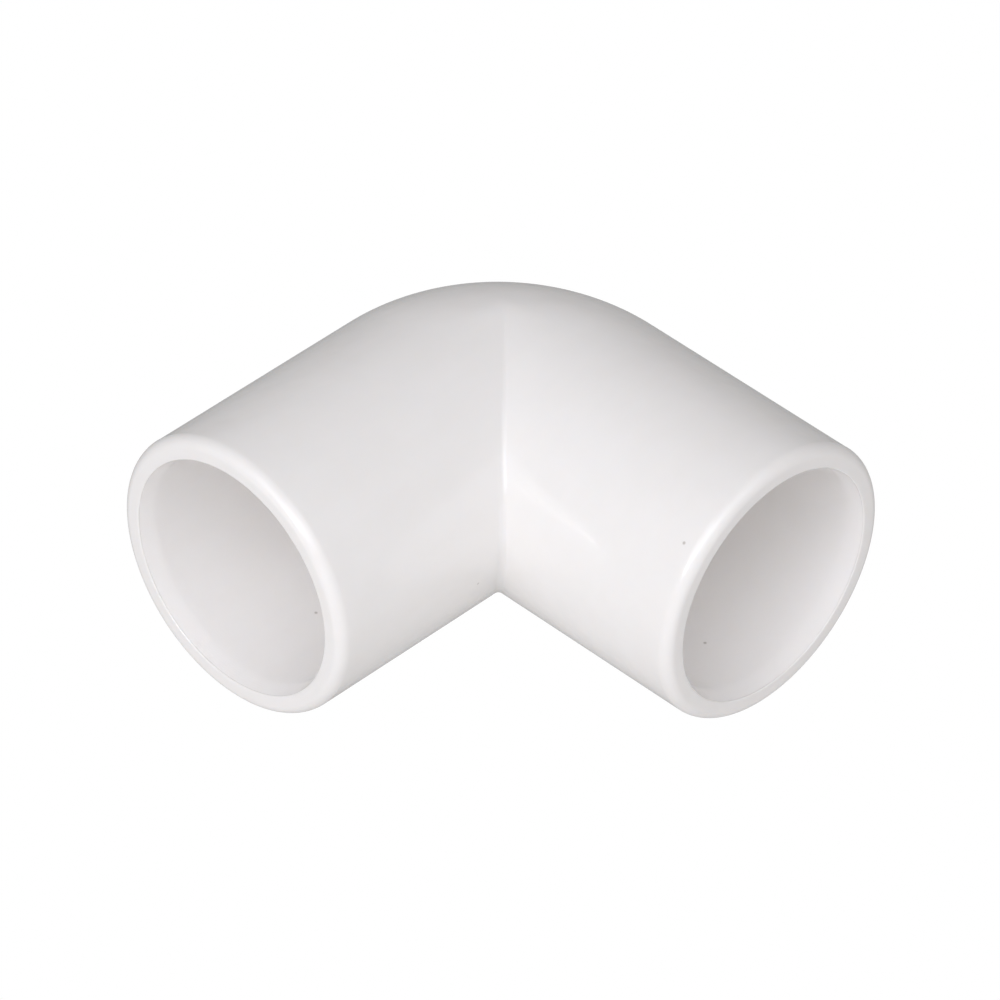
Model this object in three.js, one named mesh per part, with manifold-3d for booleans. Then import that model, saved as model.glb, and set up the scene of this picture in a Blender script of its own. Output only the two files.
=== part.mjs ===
// A white PVC 90 degree elbow for 3/4 in irrigation pipe, with a solvent-weld socket at each end.
// The real fitting is one injection-moulded piece with nothing fitted to it, so it is one mesh.
// Units are millimetres and +Z is up. The elbow lies on its side: one socket opens along +X, the
// other along +Y. The body is modelled about the point where the two socket axes cross, and then
// placed with the middle of its bounding box over the origin and its underside at Z = 0.
import * as THREE from 'three';
import { mergeVertices } from 'three/addons/utils/BufferGeometryUtils.js';
import Module from 'manifold-3d';

// Outside
const BODY_RADIUS = 16.3;            // both arms and the bend
const ARM_REACH = 40.2;              // crossing of the axes to the face of each mouth
const BEND_RADIUS = 10.4;            // centre line of the rounded heel
const RIM_IN = 1.2;                  // the rounded outer edge of each mouth runs this far in,
const RIM_BACK = 1.4;                // and this far back along the arm

// Sockets, for pipe 26.67 outside
const SOCKET_MOUTH_RADIUS = 13.435;
const SOCKET_ROOT_RADIUS = 13.285;
const LEAD_IN_RADIUS = 13.9;         // each mouth flares to this at its face
const LEAD_IN_DEPTH = 2.5;
const STOP_DISTANCE = 14.7;          // crossing of the axes to the ledge that stops the pipe

// Waterway between the two ledges
const WATERWAY_RADIUS = 10.5;

// Faceting
const BARREL_SIDES = 64;
const BEND_SIDES = 64;
const ROUNDING_STEPS = 4;
const CUT_OVERRUN = 2;               // how far a cutting shape runs on past the face it opens
const CORNERS_PER_MM = 1000;         // corners are rounded to a micron before any join or cut

const PVC_WHITE = 0xf0f0ee;

const wasm = await Module();
wasm.setup();

// A closed three.js geometry as a solid that can be joined and cut. Its corners are rounded, so that
// the bend and the barrels that run on from it share exactly the same corners.
function toSolid(geometry) {
  geometry.deleteAttribute('normal');
  geometry.deleteAttribute('uv');
  const merged = mergeVertices(geometry);
  const corners = merged.index.array;
  const triangles = [];
  for (let i = 0; i < corners.length; i += 3) {
    const [a, b, c] = corners.slice(i, i + 3);
    // A turned profile leaves triangles with no area where it meets its axis.
    if (a !== b && b !== c && c !== a) triangles.push(a, b, c);
  }
  const position = merged.attributes.position.array;
  return new wasm.Manifold(new wasm.Mesh({
    numProp: 3,
    vertProperties: position.map((value) => Math.round(value * CORNERS_PER_MM) / CORNERS_PER_MM),
    triVerts: new Uint32Array(triangles),
  }));
}

// A solid as a three.js geometry with flat facets.
function toGeometry(solid) {
  const mesh = solid.getMesh();
  const geometry = new THREE.BufferGeometry();
  geometry.setAttribute('position', new THREE.BufferAttribute(mesh.vertProperties, 3));
  geometry.setIndex(new THREE.BufferAttribute(mesh.triVerts, 1));
  geometry.computeVertexNormals();
  return geometry;
}

// A profile of [radius, distance] pairs turned about the +Y axis.
function turned(profile) {
  const points = profile.map(([radius, distance]) => new THREE.Vector2(radius, distance));
  return new THREE.LatheGeometry(points, BARREL_SIDES);
}

// The same turned profile along both socket axes, as one solid.
function alongBothAxes(profile) {
  const alongX = turned(profile).rotateZ(-Math.PI / 2);
  const alongY = turned(profile);
  return toSolid(alongX).add(toSolid(alongY));
}

// A bend of round section about a vertical line through (BEND_RADIUS, BEND_RADIUS). The section's
// radius is more than the bend's, so the section is cut off flat by the line that it turns about.
function bend(radius) {
  const cutOff = Math.acos(-BEND_RADIUS / radius);
  const step = (2 * Math.PI) / BARREL_SIDES;
  const half = Math.ceil(cutOff / step) - 1;
  const poleHeight = radius * Math.sin(cutOff);
  const points = [new THREE.Vector2(0, -poleHeight)];
  for (let i = -half; i <= half; i += 1) {
    const angle = i * step;
    points.push(new THREE.Vector2(
      BEND_RADIUS + radius * Math.cos(angle),
      radius * Math.sin(angle),
    ));
  }
  points.push(new THREE.Vector2(0, poleHeight));
  const geometry = new THREE.LatheGeometry(points, BEND_SIDES);
  geometry.rotateX(Math.PI / 2);
  geometry.translate(BEND_RADIUS, BEND_RADIUS, 0);
  return toSolid(geometry);
}

// Two barrels that meet at a sharp inner corner and turn through a rounded heel. The profile is the
// one of each barrel from the start of the bend outwards.
function elbowForm(radius, profile) {
  const wholeBarrel = [[0, -radius], [radius, -radius], [radius, ARM_REACH], [0, ARM_REACH]];
  const turn = bend(radius).intersect(alongBothAxes(wholeBarrel));
  return turn.add(alongBothAxes(profile));
}

// The outside of an arm, with the outer edge of its mouth rounded.
function armProfile() {
  const profile = [[0, BEND_RADIUS], [BODY_RADIUS, BEND_RADIUS]];
  for (let i = 0; i <= ROUNDING_STEPS; i += 1) {
    const angle = (i / ROUNDING_STEPS) * (Math.PI / 2);
    profile.push([
      BODY_RADIUS - RIM_IN * (1 - Math.cos(angle)),
      ARM_REACH - RIM_BACK * (1 - Math.sin(angle)),
    ]);
  }
  profile.push([0, ARM_REACH]);
  return profile;
}

// A socket tapers from its mouth down to the flat ledge, and its mouth flares to lead the pipe in.
function socketProfile() {
  return [
    [0, STOP_DISTANCE],
    [SOCKET_ROOT_RADIUS, STOP_DISTANCE],
    [SOCKET_MOUTH_RADIUS, ARM_REACH - LEAD_IN_DEPTH],
    [LEAD_IN_RADIUS, ARM_REACH],
    [LEAD_IN_RADIUS, ARM_REACH + CUT_OVERRUN],
    [0, ARM_REACH + CUT_OVERRUN],
  ];
}

// The waterway runs a little way into each socket, so that the cut opens right through the ledge.
function waterwayProfile() {
  return [
    [0, BEND_RADIUS],
    [WATERWAY_RADIUS, BEND_RADIUS],
    [WATERWAY_RADIUS, STOP_DISTANCE + CUT_OVERRUN],
    [0, STOP_DISTANCE + CUT_OVERRUN],
  ];
}

function elbowBody() {
  const outside = elbowForm(BODY_RADIUS, armProfile());
  const sockets = alongBothAxes(socketProfile());
  const waterway = elbowForm(WATERWAY_RADIUS, waterwayProfile());
  const material = new THREE.MeshStandardMaterial({
    color: PVC_WHITE,
    roughness: 0.35,
    metalness: 0,
  });
  const mesh = new THREE.Mesh(toGeometry(outside.subtract(sockets).subtract(waterway)), material);
  mesh.name = 'elbow_body';
  return mesh;
}

const group = new THREE.Group();
const body = elbowBody();
const middle = (ARM_REACH - BODY_RADIUS) / 2;
body.position.set(-middle, -middle, BODY_RADIUS);
group.add(body);

export default group;
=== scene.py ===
# A white PVC slip elbow for irrigation pipe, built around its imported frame.
# The frame's one node gives the place, the body radius and the reach of the arms. This script makes
# the fine surface over it: true round arms, a rounded heel, a mitred inner corner with its small
# fillet, rounded rims, tapered sockets with their pipe stops, and the waterway between the stops.
# Lengths are millimetres until the mesh is made, and the mesh is in metres.
import math

import bpy
import numpy as np
from mathutils import Matrix, Vector


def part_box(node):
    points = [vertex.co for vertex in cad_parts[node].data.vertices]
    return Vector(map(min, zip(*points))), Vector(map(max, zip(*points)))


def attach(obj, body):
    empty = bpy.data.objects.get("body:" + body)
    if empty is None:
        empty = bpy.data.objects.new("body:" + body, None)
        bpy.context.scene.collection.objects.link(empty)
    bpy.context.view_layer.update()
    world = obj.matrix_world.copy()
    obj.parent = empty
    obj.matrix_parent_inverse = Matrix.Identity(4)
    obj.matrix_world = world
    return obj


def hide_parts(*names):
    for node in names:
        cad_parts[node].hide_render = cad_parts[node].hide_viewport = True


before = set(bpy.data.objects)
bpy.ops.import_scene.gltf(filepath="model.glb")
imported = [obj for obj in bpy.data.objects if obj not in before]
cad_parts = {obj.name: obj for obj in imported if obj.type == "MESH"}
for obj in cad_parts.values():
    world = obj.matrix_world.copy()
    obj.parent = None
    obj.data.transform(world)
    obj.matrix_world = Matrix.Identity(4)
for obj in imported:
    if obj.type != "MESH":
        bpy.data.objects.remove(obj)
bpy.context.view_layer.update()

MM = 0.001

# ---- sizes -------------------------------------------------------------------------------------
low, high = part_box("elbow_body")
BODY_RADIUS = (high.z - low.z) / 2 / MM
CROSSING = Vector((low.x + BODY_RADIUS * MM, low.y + BODY_RADIUS * MM, low.z + BODY_RADIUS * MM))
ARM_REACH = (high.x - CROSSING.x) / MM
BEND_RADIUS = 10.4           # centre line of the rounded heel
RIM_IN, RIM_BACK = 1.2, 1.4  # outer edge of a mouth: how far its rounding runs in and back
MITRE_FILLET = 0.7           # hollow fillet along the inner corner
RIDGE_ROUNDING = 14.0        # radius where the heel runs out into the arms
HEEL_REACH = 4.0             # the heel stops this far past an arm's axis, towards the inner corner

SOCKET_MOUTH_RADIUS = 13.435
SOCKET_ROOT_RADIUS = 13.285
LEAD_IN_RADIUS = 13.82       # a shallow flare leads the pipe into the mouth
LEAD_IN_DEPTH = 2.5
LEAD_IN_ARC = 0.8            # length of the arc that joins the flare to the socket's wall
MOUTH_BREAK = 0.18           # rounding of the inner edge of a mouth
STOP_DISTANCE = 14.7         # crossing of the axes to the pipe stop
ROOT_FILLET = 0.3            # socket wall into the stop
STOP_EDGE = 0.3              # stop into the waterway
WATERWAY_RADIUS = 10.5
WATERWAY_CORNER = 0.5        # inner corner of the waterway

PARTING_HEIGHT = 0.05        # the mould's parting line stands this far off the heel side
PARTING_WIDTH = 0.12         # from its middle to where it has fallen to about a third
GATE_RADIUS = 1.15           # the trimmed gate on the back of the heel
GATE_HEIGHT = 0.22
GATE_EDGE = 0.1              # its side slopes over about twice this

# The material. Wavelengths are in millimetres and heights in micrometres.
PVC_WHITE = (0.940, 0.925, 0.907, 1)
PVC_SHADE = (0.925, 0.909, 0.889, 1)
# Painted light: the sockets and the waterway get a lighter copy of the white, which stands in for
# the light that bounces about inside them.
BORE_PAINTED_LIGHT_WHITE = (0.948, 0.936, 0.924, 1)
BORE_PAINTED_LIGHT_SHADE = (0.935, 0.922, 0.909, 1)
MOTTLE_WAVELENGTH, STREAK_WAVELENGTH = 9.0, 14.0
STREAK_TURN, STREAK_STRETCH = (0.2, 0.3, 0.8), (1, 5, 5)
TONE_LOW, TONE_HIGH = 0.3, 0.7  # of mottle and streaks together, for the shade and for the white
SPECK_BROWN = (0.30, 0.26, 0.22, 1)
SPECK_STRENGTH = 0.5
SPECK_SPACING = 12.0         # of the cells whose middles are specks where they lie at the surface
SPECK_RADIUS = 0.22
SPECK_CORE, SPECK_FADE = 0.3, 1.2  # in speck radii: dark up to the first, and gone at the second
SPECKS = [(11.78, 37.69, 11.26), (26.54, -0.76, -13.38), (0.25, 31.25, -13.40)]
PATCH_WAVELENGTH, GRAIN_WAVELENGTH, SCUFF_WAVELENGTH = 6.0, 0.35, 9.0
SCUFF_TURN, SCUFF_STRETCH = (0.1, 0.9, 0.5), (1, 22, 22)
SCUFF_START, SCUFF_FULL = 0.62, 0.74  # only the peaks of their noise are scuffs
SMOOTHEST = 0.02             # roughness, to which each of the next five adds up to its own amount
PATCH_ROUGHNESS, GRAIN_ROUGHNESS, SCUFF_ROUGHNESS = 0.05, 0.06, 0.03
BORE_ROUGHNESS, RIM_ROUGHNESS = 0.12, 0.10
WAVE_WAVELENGTH, WAVE_HEIGHT = 5.0, 110.0  # slow waves in the moulded skin
WAVES_LOST_IN_BORE = 0.8
RIPPLE_WAVELENGTH, RIPPLE_HEIGHT = 0.9, 6.0
GRAIN_HEIGHT = 1.5
TURNING_PITCH = 0.28         # of the fine rings that the turned cores leave in the sockets
TURNING_HEIGHT = 1.0
PVC_IOR = 1.53
SUBSURFACE_WEIGHT = 0.3      # part of the diffuse light that spreads under the skin
SUBSURFACE_RADIUS, SUBSURFACE_SCALE = (1.0, 0.9, 0.8), 0.8

# The mesh. Ring planes turn through the bend about an upright line this far out on both axes, and
# the middles of the rings move towards it by up to the shift.
OUTER_HINGE, OUTER_SHIFT = 22.0, 5.5
WATERWAY_HINGE, WATERWAY_SHIFT = 14.0, 3.5
SIDES = 256                  # points round a ring, before the extra ones at the parting line
WALL_STEP = 0.9              # between rings along straight walls
FACE_STEP = 0.3              # across the face of a mouth and down its flare
LEDGE_STEP = 0.5             # across a pipe stop
RIM_STEPS, EDGE_STEPS = 16, 5
FINE_HALF, FINE_STEP = 5.0, 0.25  # degrees either side of the parting line, and between points there
RAY_HALVINGS = 48            # of the range along a ray in which the surface lies
RAY_REACH = 3                # a ray's length in hinge distances, well past the surface
MITRE_ANGLE = 45.0           # degrees from an arm to the mitre
TINY = 1e-9                  # keeps a division or a square root away from zero
PARALLEL = 1e-6              # surfaces with a smaller squared sine between them form no edge


# ---- the surface as a field --------------------------------------------------------------------
def rounded_meeting(a, b, cos_between, radius, hollow):
    """The field of two surfaces that meet in an edge rounded to a radius. a and b are distances
    outside each surface, and cos_between is the cosine between their normals. A hollow edge joins
    the two solids, any other edge is on the solid that they share."""
    sign = 1.0 if hollow else -1.0
    plain = np.minimum(a, b) if hollow else np.maximum(a, b)
    sin2 = np.maximum(1.0 - cos_between ** 2, TINY)
    da = a - sign * radius
    db = b - sign * radius
    distance = np.sqrt(np.maximum(da ** 2 + db ** 2 - 2 * da * db * cos_between, 0.0) / sin2)
    toward_a = sign * (db * cos_between - da)
    toward_b = sign * (da * cos_between - db)
    on_edge = (toward_a > 0) & (toward_b > 0) & (sin2 > PARALLEL)
    return np.where(on_edge, sign * (radius - distance), plain)


def elbow_field(point, radius, corner_rounding):
    """Below zero inside an elbow of round section about the crossing of its axes. Its arms meet at
    a mitre on the inside of the bend, and a swept bend rounds its heel."""
    x, y, z = point[..., 0], point[..., 1], point[..., 2]
    from_x_axis = np.hypot(y, z)
    from_y_axis = np.hypot(x, z)
    on_x_arm = x >= y
    own = np.where(on_x_arm, from_x_axis, from_y_axis) - radius
    other = np.where(on_x_arm, from_y_axis, from_x_axis) - radius
    cos_arms = z ** 2 / np.maximum(from_x_axis * from_y_axis, TINY)
    corner = rounded_meeting(own, other, cos_arms, corner_rounding, hollow=True)
    arms = np.where(np.minimum(x, y) > 0, corner, own)

    across_x, across_y = x - BEND_RADIUS, y - BEND_RADIUS
    from_pole = np.maximum(np.hypot(across_x, across_y), TINY)
    off_line = from_pole - BEND_RADIUS
    from_line = np.maximum(np.hypot(off_line, z), TINY)
    bend = from_line - radius
    arm_across = np.where(on_x_arm, y, x)
    bend_across = np.where(on_x_arm, across_y, across_x) / from_pole * off_line
    arm_distance = np.maximum(own + radius, TINY)
    cos_ridge = (arm_across * bend_across + z ** 2) / (arm_distance * from_line)
    in_bend = (x < BEND_RADIUS) & (y < BEND_RADIUS) & (arm_across < HEEL_REACH)
    heel = rounded_meeting(arms, bend, cos_ridge, RIDGE_ROUNDING, hollow=False)
    return np.where(in_bend, heel, arms)


# ---- rings -------------------------------------------------------------------------------------
def ring_angles():
    """Angles round a ring, from the heel side, closer together across the parting line."""
    fine = np.arange(-FINE_HALF, FINE_HALF + FINE_STEP / 2, FINE_STEP)
    coarse = np.linspace(FINE_HALF, 360 - FINE_HALF, SIDES)[1:-1]
    return np.radians(np.concatenate([fine, coarse]))


ANGLES = ring_angles()
COS, SIN = np.cos(ANGLES), np.sin(ANGLES)
HEEL_POINT = int(np.argmax(COS))


def straight_ring(distance, radius):
    """A circle about the X axis."""
    return np.stack([np.full_like(COS, distance), -radius * COS, radius * SIN], axis=-1)


def fan_angles(first_step, growth, widest_step):
    """Angles of the ring planes from the X arm to the mitre, closest together at the mitre."""
    offsets, step = [0.0], first_step
    while offsets[-1] < MITRE_ANGLE:
        offsets.append(offsets[-1] + step)
        step = min(step * growth, widest_step)
    last_is_close = MITRE_ANGLE - offsets[-2] < widest_step / 2
    offsets = np.array(offsets[:-1] if last_is_close else offsets)
    return np.radians(MITRE_ANGLE - offsets * MITRE_ANGLE / offsets[-1])[::-1]


def bent_ring(turn, hinge, shift, field):
    """The ring in a plane that has turned about the upright line at (hinge, hinge)."""
    inward = np.array([-math.sin(turn), -math.cos(turn), 0.0])
    arm_length = hinge / math.cos(turn) - shift * math.sin(2 * turn) ** 2
    centre = np.array([hinge, hinge, 0.0]) + arm_length * inward
    rays = COS[:, None] * inward + SIN[:, None] * np.array([0.0, 0.0, 1.0])
    near = np.zeros_like(COS)
    far = np.full_like(COS, RAY_REACH * hinge)
    for _ in range(RAY_HALVINGS):
        middle = (near + far) / 2
        inside = field(centre + middle[:, None] * rays) < 0
        near = np.where(inside, middle, near)
        far = np.where(inside, far, middle)
    return centre + near[:, None] * rays


def quarter(steps):
    """Angles of a quarter turn, without its first."""
    return [math.pi / 2 * i / steps for i in range(1, steps + 1)]


def spread(start, end, step):
    """Even values from just after start to end."""
    count = max(1, round(abs(end - start) / step))
    return [start + (end - start) * i / count for i in range(1, count + 1)]


def arm_outside():
    """(distance, radius) of the rings along the outside of an arm, up to the rounding of its rim."""
    rim_start = ARM_REACH - RIM_BACK
    return [(distance, BODY_RADIUS) for distance in spread(OUTER_HINGE, rim_start, WALL_STEP)]


def flare(distance):
    """How much wider than the socket its lead-in is, at a distance out from its start. It leaves
    the socket's wall as an arc and runs on as a cone."""
    rise, run = LEAD_IN_RADIUS - SOCKET_MOUTH_RADIUS, LEAD_IN_DEPTH - MOUTH_BREAK
    slope = rise / (run - LEAD_IN_ARC / 2)
    if distance < LEAD_IN_ARC:
        return slope * distance ** 2 / (2 * LEAD_IN_ARC)
    return slope * (distance - LEAD_IN_ARC / 2)


def arm_mouth():
    """(distance, radius) of an arm's other rings: over the rim, down the socket to the pipe stop,
    and into the waterway."""
    rim_start = ARM_REACH - RIM_BACK
    profile = [(rim_start + RIM_BACK * math.sin(a),
                BODY_RADIUS - RIM_IN * (1 - math.cos(a))) for a in quarter(RIM_STEPS)]
    break_start = LEAD_IN_RADIUS + MOUTH_BREAK
    profile += [(ARM_REACH, r) for r in spread(BODY_RADIUS - RIM_IN, break_start, FACE_STEP)]
    profile += [(ARM_REACH - MOUTH_BREAK * (1 - math.cos(a)),
                 break_start - MOUTH_BREAK * math.sin(a)) for a in quarter(EDGE_STEPS)]
    flare_end = ARM_REACH - LEAD_IN_DEPTH
    profile += [(d, SOCKET_MOUTH_RADIUS + flare(d - flare_end))
                for d in spread(ARM_REACH - MOUTH_BREAK, flare_end, FACE_STEP)]
    wall_end = STOP_DISTANCE + ROOT_FILLET
    taper = (SOCKET_MOUTH_RADIUS - SOCKET_ROOT_RADIUS) / (flare_end - wall_end)
    profile += [(d, SOCKET_ROOT_RADIUS + taper * (d - wall_end))
                for d in spread(flare_end, wall_end, WALL_STEP)]
    profile += [(wall_end - ROOT_FILLET * math.sin(a),
                 SOCKET_ROOT_RADIUS - ROOT_FILLET * (1 - math.cos(a))) for a in quarter(EDGE_STEPS)]
    ledge_end = WATERWAY_RADIUS + STOP_EDGE
    profile += [(STOP_DISTANCE, r)
                for r in spread(SOCKET_ROOT_RADIUS - ROOT_FILLET, ledge_end, LEDGE_STEP)]
    profile += [(STOP_DISTANCE - STOP_EDGE * (1 - math.cos(a)),
                 ledge_end - STOP_EDGE * math.sin(a)) for a in quarter(EDGE_STEPS)]
    return profile


def mirrored(rings):
    """The rings on the other arm, in the opposite order."""
    return [ring[:, [1, 0, 2]] for ring in reversed(rings)]


def with_mould_marks(rings):
    """The outside's rings with the mould's parting line along the heel side, and the trimmed gate
    on the back of the heel. The line just reaches the body radius."""
    heel = min((ring[HEEL_POINT] for ring in rings), key=lambda point: point[0] + point[1])
    heel_side = np.maximum(COS, 0) ** 2
    marked = []
    for ring in rings:
        outward = ring - ring.mean(axis=0)
        outward /= np.linalg.norm(outward, axis=1)[:, None]
        line = heel_side * np.exp(-(ring[:, 2] / PARTING_WIDTH) ** 2)
        from_gate = np.linalg.norm(ring - heel, axis=1)
        gate = GATE_HEIGHT * (0.5 - 0.5 * np.tanh((from_gate - GATE_RADIUS) / GATE_EDGE))
        lift = np.maximum(PARTING_HEIGHT * line, gate) - PARTING_HEIGHT * heel_side
        marked.append(ring + outward * lift[:, None])
    return marked


def elbow_rings():
    """Every ring of the closed surface, whether each is in a socket or the waterway, and whether
    each is on the rim of a mouth. In order: the outside from the X arm to the Y arm, the Y arm's
    mouth and socket, the waterway back to the X arm, and that arm's socket and mouth."""
    def outside(p):
        return elbow_field(p, BODY_RADIUS, MITRE_FILLET)

    def waterway(p):
        return elbow_field(p, WATERWAY_RADIUS, WATERWAY_CORNER)

    outer_arm = [straight_ring(d, r) for d, r in arm_outside()]
    mouth = [straight_ring(d, r) for d, r in arm_mouth()]
    outer_fan = [bent_ring(t, OUTER_HINGE, OUTER_SHIFT, outside)
                 for t in fan_angles(first_step=0.08, growth=1.12, widest_step=1.5)]
    inner_fan = [bent_ring(t, WATERWAY_HINGE, WATERWAY_SHIFT, waterway)
                 for t in fan_angles(first_step=0.3, growth=1.2, widest_step=2.5)]
    outer = outer_arm[::-1] + outer_fan
    outer = with_mould_marks(outer + mirrored(outer[:-1]))
    inner = inner_fan + mirrored(inner_fan[:-1])
    rings = outer + mirrored(mouth)[::-1] + inner[::-1] + mouth[::-1]
    past_mouth = [radius <= LEAD_IN_RADIUS for _, radius in arm_mouth()]
    in_bore = [False] * len(outer) + past_mouth + [True] * len(inner) + past_mouth[::-1]
    on_rim = [not inside for inside in in_bore]
    on_rim[:len(outer)] = [False] * len(outer)
    return rings, in_bore, on_rim


def elbow_object(name):
    rings, in_bore, on_rim = elbow_rings()
    count, sides = len(rings), len(ANGLES)
    points = np.concatenate(rings) * MM + np.array(CROSSING)
    index = np.arange(count * sides).reshape(count, sides)
    onward, around = np.roll(index, -1, axis=0), np.roll(index, -1, axis=1)
    across = np.roll(onward, -1, axis=1)
    faces = np.stack([index, around, across, onward], axis=-1).reshape(-1, 4)
    mesh = bpy.data.meshes.new(name)
    mesh.from_pydata(points.tolist(), [], faces.tolist())
    mesh.update()
    mesh.shade_smooth()
    for label, marks in (("bore", in_bore), ("rim", on_rim)):
        attribute = mesh.attributes.new(label, "FLOAT", "POINT")
        attribute.data.foreach_set("value", np.repeat(marks, sides).astype(np.float32))
    piece = bpy.data.objects.new(name, mesh)
    bpy.context.scene.collection.objects.link(piece)
    return piece


# ---- material ----------------------------------------------------------------------------------
class Nodes:
    """Short calls for the nodes that the material is made of. A value is a number or a socket."""

    def __init__(self, material):
        self.tree = material.node_tree

    def add(self, kind, **settings):
        node = self.tree.nodes.new(kind)
        for name, value in settings.items():
            setattr(node, name, value)
        return node

    def set(self, socket, value):
        if isinstance(value, bpy.types.NodeSocket):
            self.tree.links.new(value, socket)
        else:
            socket.default_value = value

    def math(self, operation, *values, clamp=False):
        node = self.add("ShaderNodeMath", operation=operation, use_clamp=clamp)
        for socket, value in zip(node.inputs, values):
            self.set(socket, value)
        return node.outputs[0]

    def remap(self, value, start, end, to_start, to_end):
        """The value, from one range to another, with a smooth step at each end."""
        node = self.add("ShaderNodeMapRange", interpolation_type="SMOOTHSTEP")
        for socket, number in zip(node.inputs, (value, start, end, to_start, to_end)):
            self.set(socket, number)
        return node.outputs["Result"]

    def noise(self, place, wavelength, detail=2.0, roughness=0.5):
        """A noise from 0 to 1 whose lumps are about a wavelength apart, in millimetres."""
        node = self.add("ShaderNodeTexNoise")
        self.set(node.inputs["Vector"], place)
        self.set(node.inputs["Scale"], 1 / (wavelength * MM))
        self.set(node.inputs["Detail"], detail)
        self.set(node.inputs["Roughness"], roughness)
        return node.outputs["Fac"]

    def stretched(self, place, turn, scale):
        """The place turned and scaled, for a pattern that runs in one direction."""
        node = self.add("ShaderNodeMapping", vector_type="POINT")
        self.set(node.inputs["Vector"], place)
        self.set(node.inputs["Rotation"], turn)
        self.set(node.inputs["Scale"], scale)
        return node.outputs["Vector"]

    def mix(self, factor, first, second):
        node = self.add("ShaderNodeMix", data_type="RGBA")
        self.set(node.inputs["Factor"], factor)
        self.set(node.inputs[6], first)
        self.set(node.inputs[7], second)
        return node.outputs[2]

    def bump(self, height, distance, normal=None):
        """The normal over a height of 0 to 1 that stands for a distance in micrometres."""
        node = self.add("ShaderNodeBump")
        self.set(node.inputs["Height"], height)
        self.set(node.inputs["Distance"], distance * 1e-6)
        if normal:
            self.set(node.inputs["Normal"], normal)
        return node.outputs["Normal"]


def speck_mask(nodes, place):
    """1 on dark specks of burnt resin: a few listed, and a sparse scatter from a cell pattern."""
    cells = nodes.add("ShaderNodeTexVoronoi")
    nodes.set(cells.inputs["Vector"], place)
    nodes.set(cells.inputs["Scale"], 1 / (SPECK_SPACING * MM))
    size = SPECK_RADIUS / SPECK_SPACING
    core, fade = SPECK_RADIUS * SPECK_CORE * MM, SPECK_RADIUS * SPECK_FADE * MM
    mask = nodes.remap(cells.outputs["Distance"], size * SPECK_CORE, size * SPECK_FADE, 1.0, 0.0)
    for spot in SPECKS:
        gap = nodes.add("ShaderNodeVectorMath", operation="DISTANCE")
        nodes.set(gap.inputs[0], place)
        nodes.set(gap.inputs[1], CROSSING + MM * Vector(spot))
        one = nodes.remap(gap.outputs["Value"], core, fade, 1.0, 0.0)
        mask = nodes.math("MAXIMUM", mask, one)
    return mask


def turning_rings(nodes, place):
    """A height of 0 to 1 that rises and falls along each socket's axis."""
    split = nodes.add("ShaderNodeSeparateXYZ")
    nodes.set(split.inputs[0], place)
    along_x = nodes.math("SUBTRACT", split.outputs["X"], CROSSING.x)
    along_y = nodes.math("SUBTRACT", split.outputs["Y"], CROSSING.y)
    along = nodes.math("MAXIMUM", along_x, along_y)
    wave = nodes.math("SINE", nodes.math("MULTIPLY", along, 2 * math.pi / (TURNING_PITCH * MM)))
    in_socket = nodes.math("GREATER_THAN", along, STOP_DISTANCE * MM)
    return nodes.math("MULTIPLY", nodes.math("MULTIPLY_ADD", wave, 0.5, 0.5), in_socket)


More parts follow.
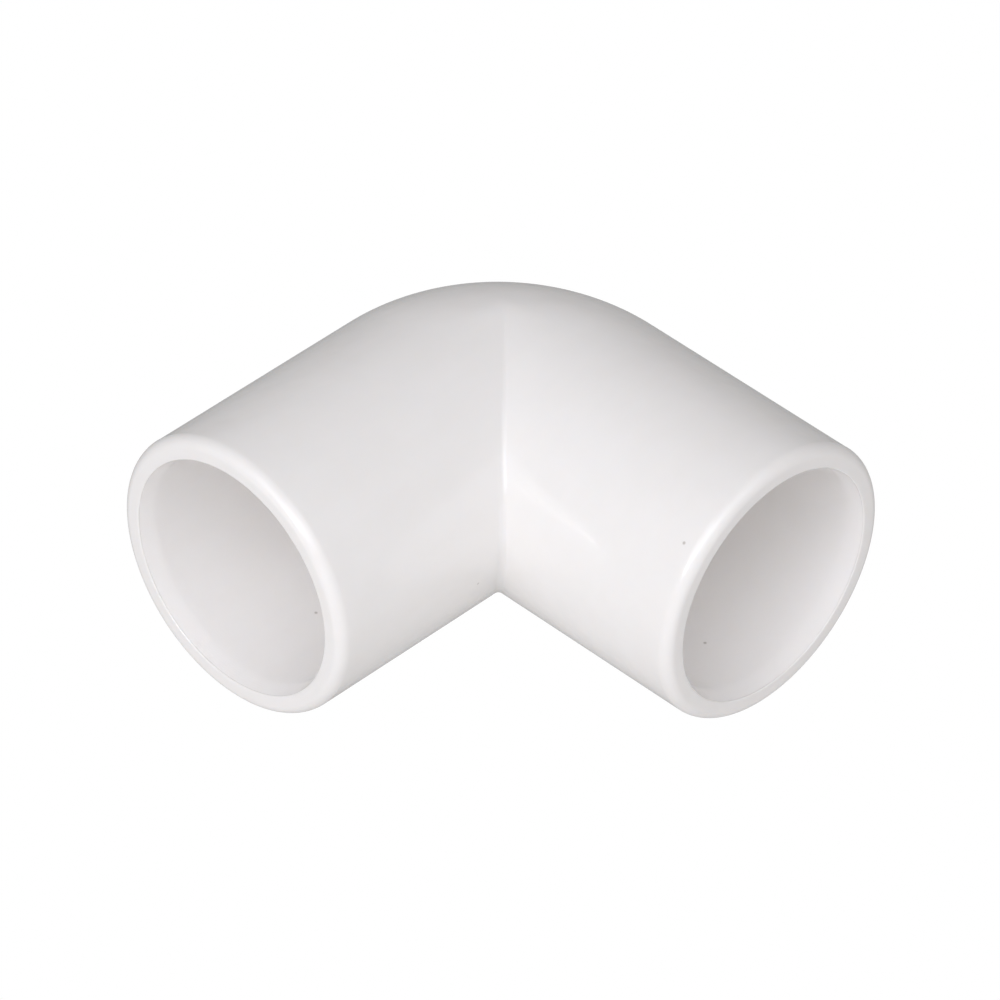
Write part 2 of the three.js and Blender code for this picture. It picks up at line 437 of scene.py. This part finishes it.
def pvc_material():
    """White rigid PVC: a moulding's satin skin outside, and duller sockets off turned cores, painted
    lighter inside for the light that bounces there.
    """
    material = bpy.data.materials.new("white_pvc")
    material.use_nodes = True
    nodes = Nodes(material)
    shader = material.node_tree.nodes["Principled BSDF"]
    place = nodes.add("ShaderNodeTexCoord").outputs["Object"]
    bore = nodes.add("ShaderNodeAttribute", attribute_name="bore").outputs["Fac"]
    rim = nodes.add("ShaderNodeAttribute", attribute_name="rim").outputs["Fac"]

    mottle = nodes.noise(place, MOTTLE_WAVELENGTH, detail=3.0)
    along_flow = nodes.stretched(place, STREAK_TURN, STREAK_STRETCH)
    streaks = nodes.noise(along_flow, STREAK_WAVELENGTH, detail=3.0)
    tone = nodes.math("MULTIPLY_ADD", streaks, 0.5, nodes.math("MULTIPLY", mottle, 0.5))
    tone = nodes.remap(tone, TONE_LOW, TONE_HIGH, 0.0, 1.0)
    outside = nodes.mix(tone, PVC_SHADE, PVC_WHITE)
    # Painted light: inside, the tone runs between the lighter copies of the white, for the light
    # that bounces about in the sockets and waterway.
    inside = nodes.mix(tone, BORE_PAINTED_LIGHT_SHADE, BORE_PAINTED_LIGHT_WHITE)
    white = nodes.mix(bore, outside, inside)
    specks = nodes.math("MULTIPLY", speck_mask(nodes, place), SPECK_STRENGTH)
    nodes.set(shader.inputs["Base Color"], nodes.mix(specks, white, SPECK_BROWN))

    patches = nodes.noise(place, PATCH_WAVELENGTH, detail=4.0, roughness=0.6)
    grain = nodes.noise(place, GRAIN_WAVELENGTH)
    along_scuffs = nodes.stretched(place, SCUFF_TURN, SCUFF_STRETCH)
    scuffs = nodes.noise(along_scuffs, SCUFF_WAVELENGTH)
    scuffs = nodes.remap(scuffs, SCUFF_START, SCUFF_FULL, 0.0, 1.0)
    rough = SMOOTHEST
    for source, amount in ((patches, PATCH_ROUGHNESS), (grain, GRAIN_ROUGHNESS),
                           (scuffs, SCUFF_ROUGHNESS), (bore, BORE_ROUGHNESS),
                           (rim, RIM_ROUGHNESS)):
        rough = nodes.math("MULTIPLY_ADD", source, amount, rough)
    nodes.set(shader.inputs["Roughness"], rough)

    kept_waves = nodes.math("MULTIPLY_ADD", bore, -WAVES_LOST_IN_BORE, 1.0)
    waves = nodes.noise(place, WAVE_WAVELENGTH, detail=1.5)
    normal = nodes.bump(nodes.math("MULTIPLY", waves, kept_waves), WAVE_HEIGHT)
    normal = nodes.bump(nodes.noise(place, RIPPLE_WAVELENGTH), RIPPLE_HEIGHT, normal)
    normal = nodes.bump(grain, GRAIN_HEIGHT, normal)
    turning = nodes.math("MULTIPLY", turning_rings(nodes, place), bore)
    normal = nodes.bump(turning, TURNING_HEIGHT, normal)
    nodes.set(shader.inputs["Normal"], normal)

    shader.inputs["IOR"].default_value = PVC_IOR
    shader.inputs["Subsurface Weight"].default_value = SUBSURFACE_WEIGHT
    shader.inputs["Subsurface Radius"].default_value = SUBSURFACE_RADIUS
    shader.inputs["Subsurface Scale"].default_value = SUBSURFACE_SCALE * MM
    return material


# ---- stage -------------------------------------------------------------------------------------
CAMERA_AZIMUTH, CAMERA_ELEVATION, CAMERA_ROLL = 132.87, 40.08, 2.11
CAMERA_DISTANCE = 989.4
CAMERA_LENS, SENSOR_WIDTH = 333.5, 36.0
AIM_RIGHT, AIM_UP = 0.11, -9.73    # of the crossing of the axes, in the picture's plane
CLIP_END = 10.0              # metres
FLOOR_HALF_WIDTH = 1.5       # metres
FLOOR_GREY = (0.5, 0.5, 0.5, 1)
PLAIN_WHITE = (1, 1, 1, 1)
ROOM_WHITE = (1.0, 0.965, 0.955, 1)
LIGHT_WHITE = (0.945, 0.950, 1.0)
FLOOR_GLOW = 0.385
FLOOR_REFLECTION = 0.40      # dimmer in reflections, so that grazing edges show a thin dark contour
ROOM_GLOW = 0.347
LIGHT_DISTANCE = 0.7         # metres
WHITE_BOUNCES = 10           # light bounces many times between walls this white
# Name, turn from the camera's azimuth, elevation, width in metres and power in watts.
LIGHTS = [
    ("key", -33, 27, 0.13, 0.40),
    ("low", -20, 30, 0.3, 0.32),
    ("front", 0, 42, 0.35, 0.85),
    ("left", -40, 42, 0.5, 1.12),
    ("right", 40, 55, 0.5, 0.82),
]


def camera_axes(azimuth, elevation, roll):
    """Right, up and back of a camera, in the row frame. Azimuth 0 looks along +Y."""
    a, e, r = (math.radians(v) for v in (azimuth, elevation, roll))
    back = Vector((math.sin(a) * math.cos(e), -math.cos(a) * math.cos(e), math.sin(e)))
    level = Vector((math.cos(a), math.sin(a), 0.0))
    upright = back.cross(level)
    right = math.cos(r) * level + math.sin(r) * upright
    up = -math.sin(r) * level + math.cos(r) * upright
    return right, up, back


def add_camera():
    right, up, back = camera_axes(CAMERA_AZIMUTH, CAMERA_ELEVATION, CAMERA_ROLL)
    aim = CROSSING + MM * (AIM_RIGHT * right + AIM_UP * up)
    data = bpy.data.cameras.new("camera")
    data.sensor_width = SENSOR_WIDTH
    data.lens = CAMERA_LENS
    data.clip_end = CLIP_END
    camera = bpy.data.objects.new("camera", data)
    turn = Matrix((right, up, back)).transposed().to_4x4()
    camera.matrix_world = Matrix.Translation(aim + CAMERA_DISTANCE * MM * back) @ turn
    bpy.context.scene.collection.objects.link(camera)
    bpy.context.scene.camera = camera


def white_to_camera(tree, shader, output):
    """To the camera it is plain white, like the paper sweep of a product photo. The light that it
    sends to the elbow comes from the given shader."""
    path = tree.nodes.new("ShaderNodeLightPath")
    in_world = output.type == "OUTPUT_WORLD"
    white = tree.nodes.new("ShaderNodeBackground" if in_world else "ShaderNodeEmission")
    mix = tree.nodes.new("ShaderNodeMixShader")
    tree.links.new(path.outputs["Is Camera Ray"], mix.inputs[0])
    tree.links.new(shader.outputs[0], mix.inputs[1])
    tree.links.new(white.outputs[0], mix.inputs[2])
    tree.links.new(mix.outputs[0], output.inputs["Surface"])
    white.inputs["Color"].default_value = PLAIN_WHITE
    white.inputs["Strength"].default_value = 1.0


def add_floor():
    mesh = bpy.data.meshes.new("floor")
    half = FLOOR_HALF_WIDTH
    corners = [(-half, -half, 0), (half, -half, 0), (half, half, 0), (-half, half, 0)]
    mesh.from_pydata(corners, [], [(0, 1, 2, 3)])
    floor = bpy.data.objects.new("floor", mesh)
    material = bpy.data.materials.new("floor")
    material.use_nodes = True
    tree = material.node_tree
    paper = tree.nodes["Principled BSDF"]
    paper.inputs["Base Color"].default_value = FLOOR_GREY
    paper.inputs["Specular IOR Level"].default_value = 0.0
    paper.inputs["Emission Color"].default_value = ROOM_WHITE
    paper.inputs["Emission Strength"].default_value = FLOOR_GLOW
    path = tree.nodes.new("ShaderNodeLightPath")
    dimmer = tree.nodes.new("ShaderNodeEmission")
    dimmer.inputs["Strength"].default_value = FLOOR_REFLECTION
    sweep = tree.nodes.new("ShaderNodeMixShader")
    tree.links.new(path.outputs["Is Glossy Ray"], sweep.inputs[0])
    tree.links.new(paper.outputs[0], sweep.inputs[1])
    tree.links.new(dimmer.outputs[0], sweep.inputs[2])
    white_to_camera(tree, sweep, tree.nodes["Material Output"])
    mesh.materials.append(material)
    bpy.context.scene.collection.objects.link(floor)


def add_light(name, azimuth, elevation, size, power):
    """A square soft light that faces the elbow."""
    right, up, back = camera_axes(azimuth, elevation, 0.0)
    data = bpy.data.lights.new(name, "AREA")
    data.size = size
    data.energy = power
    data.color = LIGHT_WHITE
    light = bpy.data.objects.new(name, data)
    turn = Matrix((right, up, back)).transposed().to_4x4()
    light.matrix_world = Matrix.Translation(CROSSING + LIGHT_DISTANCE * back) @ turn
    bpy.context.scene.collection.objects.link(light)


def add_world():
    world = bpy.data.worlds.new("world")
    bpy.context.scene.world = world
    world.use_nodes = True
    tree = world.node_tree
    room = tree.nodes["Background"]
    room.inputs["Color"].default_value = ROOM_WHITE
    room.inputs["Strength"].default_value = ROOM_GLOW
    white_to_camera(tree, room, tree.nodes["World Output"])


def add_lights():
    for name, turn, elevation, size, power in LIGHTS:
        add_light(name, CAMERA_AZIMUTH + turn, elevation, size, power)


elbow = elbow_object("elbow")
elbow.data.materials.append(pvc_material())
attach(elbow, "root")
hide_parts("elbow_body")
add_camera()
add_floor()
add_world()
add_lights()
bpy.context.scene.view_settings.view_transform = "Standard"
bpy.context.scene.cycles.diffuse_bounces = WHITE_BOUNCES
